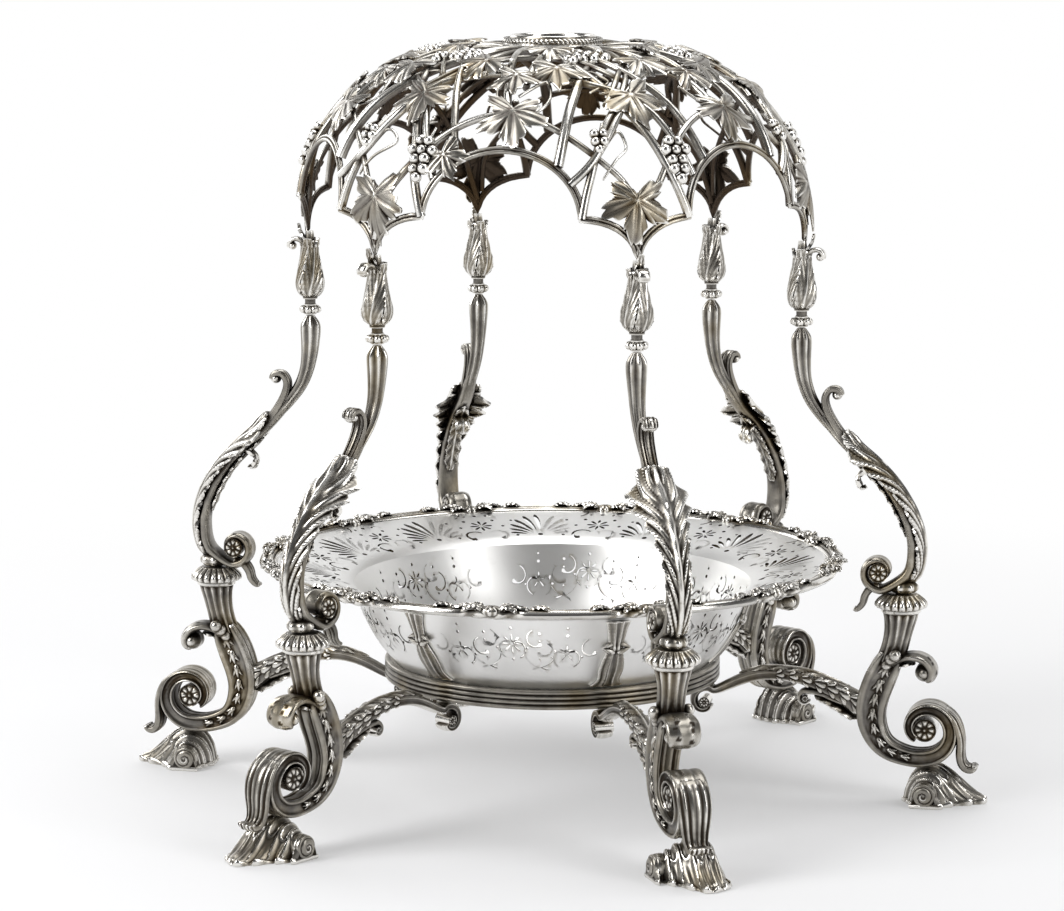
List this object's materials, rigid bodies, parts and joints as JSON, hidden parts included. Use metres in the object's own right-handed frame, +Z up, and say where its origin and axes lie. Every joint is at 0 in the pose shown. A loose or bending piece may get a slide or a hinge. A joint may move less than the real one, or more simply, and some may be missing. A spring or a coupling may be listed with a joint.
{
  "type": "table centerpiece",
  "caption": "Footed stand of scrolled legs with a wide lift-out bowl, under an openwork vine canopy on scrolled uprights.",
  "frame": {"origin": "on the floor, under the middle of the ring", "axes": "+Z up, +X towards the leg at the right"},
  "size_m": [0.548, 0.4814, 0.4696],
  "materials": {
    "cast_silver": "polished cast silver, dark in its recesses",
    "sheet_silver": "bright polished sheet silver",
    "vine_silver": "polished cast silver, dark inside"
  },
  "bodies": {
    "frame": {"support_ring": "cast_silver", "shell_foot_1": "cast_silver", "leg_1": "cast_silver", "arm_1": "cast_silver", "socket_cap_1": "cast_silver", "shell_foot_2": "cast_silver", "leg_2": "cast_silver", "arm_2": "cast_silver", "socket_cap_2": "cast_silver", "shell_foot_3": "cast_silver", "leg_3": "cast_silver", "arm_3": "cast_silver", "socket_cap_3": "cast_silver", "shell_foot_4": "cast_silver", "leg_4": "cast_silver", "arm_4": "cast_silver", "socket_cap_4": "cast_silver", "shell_foot_5": "cast_silver", "leg_5": "cast_silver", "arm_5": "cast_silver", "socket_cap_5": "cast_silver", "shell_foot_6": "cast_silver", "leg_6": "cast_silver", "arm_6": "cast_silver", "socket_cap_6": "cast_silver"},
    "bowl": {"bowl": "sheet_silver", "bowl_border": "cast_silver"},
    "canopy": {"canopy_trellis": "vine_silver", "top_ring": "cast_silver", "upright_1": "cast_silver", "baluster_1": "cast_silver", "spandrel_leaf_1": "vine_silver", "bay_leaf_1": "vine_silver", "grape_bunch_1": "vine_silver", "upright_2": "cast_silver", "baluster_2": "cast_silver", "spandrel_leaf_2": "vine_silver", "bay_leaf_2": "vine_silver", "grape_bunch_2": "vine_silver", "upright_3": "cast_silver", "baluster_3": "cast_silver", "spandrel_leaf_3": "vine_silver", "bay_leaf_3": "vine_silver", "grape_bunch_3": "vine_silver", "upright_4": "cast_silver", "baluster_4": "cast_silver", "spandrel_leaf_4": "vine_silver", "bay_leaf_4": "vine_silver", "grape_bunch_4": "vine_silver", "upright_5": "cast_silver", "baluster_5": "cast_silver", "spandrel_leaf_5": "vine_silver", "bay_leaf_5": "vine_silver", "grape_bunch_5": "vine_silver", "upright_6": "cast_silver", "baluster_6": "cast_silver", "spandrel_leaf_6": "vine_silver", "bay_leaf_6": "vine_silver", "grape_bunch_6": "vine_silver"}
  },
  "joints": [
    {"name": "canopy_lift", "type": "slide", "parent": "frame", "child": "canopy", "axis": [0, 0, 1], "range_m": [0, 0.15]},
    {"name": "bowl_lift", "type": "slide", "parent": "frame", "child": "bowl", "axis": [0, 0, 1], "range_m": [0, 0.045]}
  ]
}
